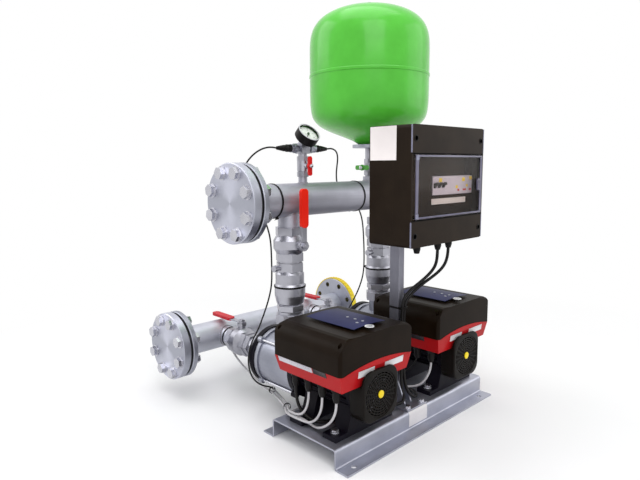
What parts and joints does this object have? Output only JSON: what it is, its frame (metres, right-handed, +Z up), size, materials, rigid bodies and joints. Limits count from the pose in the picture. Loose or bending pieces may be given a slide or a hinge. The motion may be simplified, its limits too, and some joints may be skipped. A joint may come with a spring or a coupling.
{
  "type": "booster pump set",
  "caption": "Floor-standing booster set: horizontal multistage pumps with converter boxes on a base frame, flanged manifolds, ball and check valves, diaphragm tank and control cabinet.",
  "frame": {"origin": "on the floor, in the middle of the base frame's anchor holes", "axes": "+X along the manifolds towards their open ends, +Y from the motors to the suction manifold, +Z up"},
  "size_m": [0.7422, 0.8339, 1.161],
  "materials": {
    "galvanised_steel": "satin",
    "bolt_steel": "satin",
    "stainless_steel": "satin",
    "rotor_steel": "satin",
    "stator_iron": "matte",
    "gasket_rubber": "matte",
    "motor_paint": "satin",
    "box_paint": "gloss paint",
    "dark_plastic": "satin",
    "cabinet_plastic": "fine grain",
    "yellow_plastic": "gloss",
    "grip_vinyl": "satin",
    "red_enamel": "gloss",
    "green_enamel": "gloss",
    "tank_paint": "gloss",
    "clear_door": "clear",
    "gauge_window": "clear",
    "module_plastic": "satin",
    "black_jacket": "satin",
    "grey_jacket": "satin"
  },
  "bodies": {
    "pump_set": {"ball_valves": "stainless_steel", "base_frame": "galvanised_steel", "black_cables": "black_jacket", "blind_flanges": "stainless_steel", "breakers": "module_plastic", "cabinet_box": "cabinet_plastic", "cabinet_cover": "cabinet_plastic", "cabinet_post": "galvanised_steel", "cabinet_rails": "galvanised_steel", "cable_glands": "dark_plastic", "cable_ties": "dark_plastic", "casing_rims": "motor_paint", "check_valves": "stainless_steel", "discharge_manifold": "stainless_steel", "fan_covers": "dark_plastic", "flange_bolts": "bolt_steel", "flange_gaskets": "gasket_rubber", "frame_bolts": "bolt_steel", "gauge_case": "dark_plastic", "gauge_glass": "gauge_window", "gauge_valve": "stainless_steel", "grey_cables": "grey_jacket", "loose_flanges": "stainless_steel", "motor_bearings": "rotor_steel", "motor_housings": "motor_paint", "pressure_sensors": "stainless_steel", "pump_casings": "stainless_steel", "pump_sleeves": "stainless_steel", "sensor_plugs": "dark_plastic", "shaft_seals": "gasket_rubber", "stand_foot": "galvanised_steel", "stators": "stator_iron", "staybolts": "bolt_steel", "suction_manifold": "stainless_steel", "tank_cap": "dark_plastic", "tank_flange": "stainless_steel", "tank_shell": "tank_paint", "tank_valve": "stainless_steel", "terminal_boxes": "box_paint", "terminal_covers": "dark_plastic", "union_nuts": "stainless_steel"},
    "left_rotor": {"rotor_left": "rotor_steel"},
    "right_rotor": {"rotor_right": "rotor_steel"},
    "left_discharge_lever": {"discharge_lever_left": "stainless_steel", "discharge_grip_left": "grip_vinyl"},
    "right_discharge_lever": {"discharge_lever_right": "stainless_steel", "discharge_grip_right": "grip_vinyl"},
    "left_suction_lever": {"suction_lever_left": "stainless_steel", "suction_grip_left": "grip_vinyl"},
    "right_suction_lever": {"suction_lever_right": "stainless_steel", "suction_grip_right": "grip_vinyl"},
    "left_check_poppet": {"check_poppet_left": "stainless_steel"},
    "right_check_poppet": {"check_poppet_right": "stainless_steel"},
    "gauge_tap": {"gauge_valve_handle": "red_enamel"},
    "tank_tap": {"tank_valve_handle": "green_enamel"},
    "needle": {"gauge_needle": "dark_plastic"},
    "door": {"cabinet_door": "clear_door"},
    "main_switch": {"main_switch_toggle": "dark_plastic"},
    "suction_cap": {"suction_flange_cover": "yellow_plastic"},
    "discharge_cap": {"discharge_flange_cover": "yellow_plastic"}
  },
  "joints": [
    {"name": "left_rotor_spin", "type": "hinge", "parent": "pump_set", "child": "left_rotor", "pos_m": [-0.1875, 0, 0.154], "axis": [0, 1, 0], "continuous": true},
    {"name": "right_rotor_spin", "type": "hinge", "parent": "pump_set", "child": "right_rotor", "pos_m": [0.1875, 0, 0.154], "axis": [0, 1, 0], "continuous": true},
    {"name": "left_discharge_turn", "type": "hinge", "parent": "pump_set", "child": "left_discharge_lever", "pos_m": [-0.1875, 0.186, 0.48], "axis": [0, 1, 0], "range_deg": [0, 90]},
    {"name": "right_discharge_turn", "type": "hinge", "parent": "pump_set", "child": "right_discharge_lever", "pos_m": [0.1875, 0.186, 0.48], "axis": [0, -1, 0], "range_deg": [0, 90]},
    {"name": "left_suction_turn", "type": "hinge", "parent": "pump_set", "child": "left_suction_lever", "pos_m": [-0.1875, 0.416, 0.154], "axis": [0, 0, -1], "range_deg": [0, 90]},
    {"name": "right_suction_turn", "type": "hinge", "parent": "pump_set", "child": "right_suction_lever", "pos_m": [0.1875, 0.416, 0.154], "axis": [0, 0, 1], "range_deg": [0, 90]},
    {"name": "left_check_lift", "type": "slide", "parent": "pump_set", "child": "left_check_poppet", "axis": [0, 0, 1], "range_m": [0, 0.01], "stiffness_N_per_m": 400},
    {"name": "right_check_lift", "type": "slide", "parent": "pump_set", "child": "right_check_poppet", "axis": [0, 0, 1], "range_m": [0, 0.01], "stiffness_N_per_m": 400},
    {"name": "gauge_tap_turn", "type": "hinge", "parent": "pump_set", "child": "gauge_tap", "pos_m": [-0.136, 0.186, 0.688], "axis": [0, 1, 0], "range_deg": [0, 90]},
    {"name": "tank_tap_turn", "type": "hinge", "parent": "pump_set", "child": "tank_tap", "pos_m": [0.135, 0.186, 0.682], "axis": [1, 0, 0], "range_deg": [0, 90]},
    {"name": "needle_turn", "type": "hinge", "parent": "pump_set", "child": "needle", "pos_m": [-0.136, 0.186, 0.749], "axis": [0, 0.7071, -0.7071], "range_deg": [0, 270]},
    {"name": "door_swing", "type": "hinge", "parent": "pump_set", "child": "door", "pos_m": [-0.141, -0.188, 0.639], "axis": [0, 0, -1], "range_deg": [0, 100]},
    {"name": "main_switch_throw", "type": "hinge", "parent": "pump_set", "child": "main_switch", "pos_m": [-0.007, -0.161, 0.639], "axis": [1, 0, 0], "range_deg": [0, 50]},
    {"name": "suction_cap_pull", "type": "slide", "parent": "pump_set", "child": "suction_cap", "axis": [1, 0, 0], "range_m": [0, 0.06]},
    {"name": "discharge_cap_pull", "type": "slide", "parent": "pump_set", "child": "discharge_cap", "axis": [1, 0, 0], "range_m": [0, 0.06]}
  ]
}
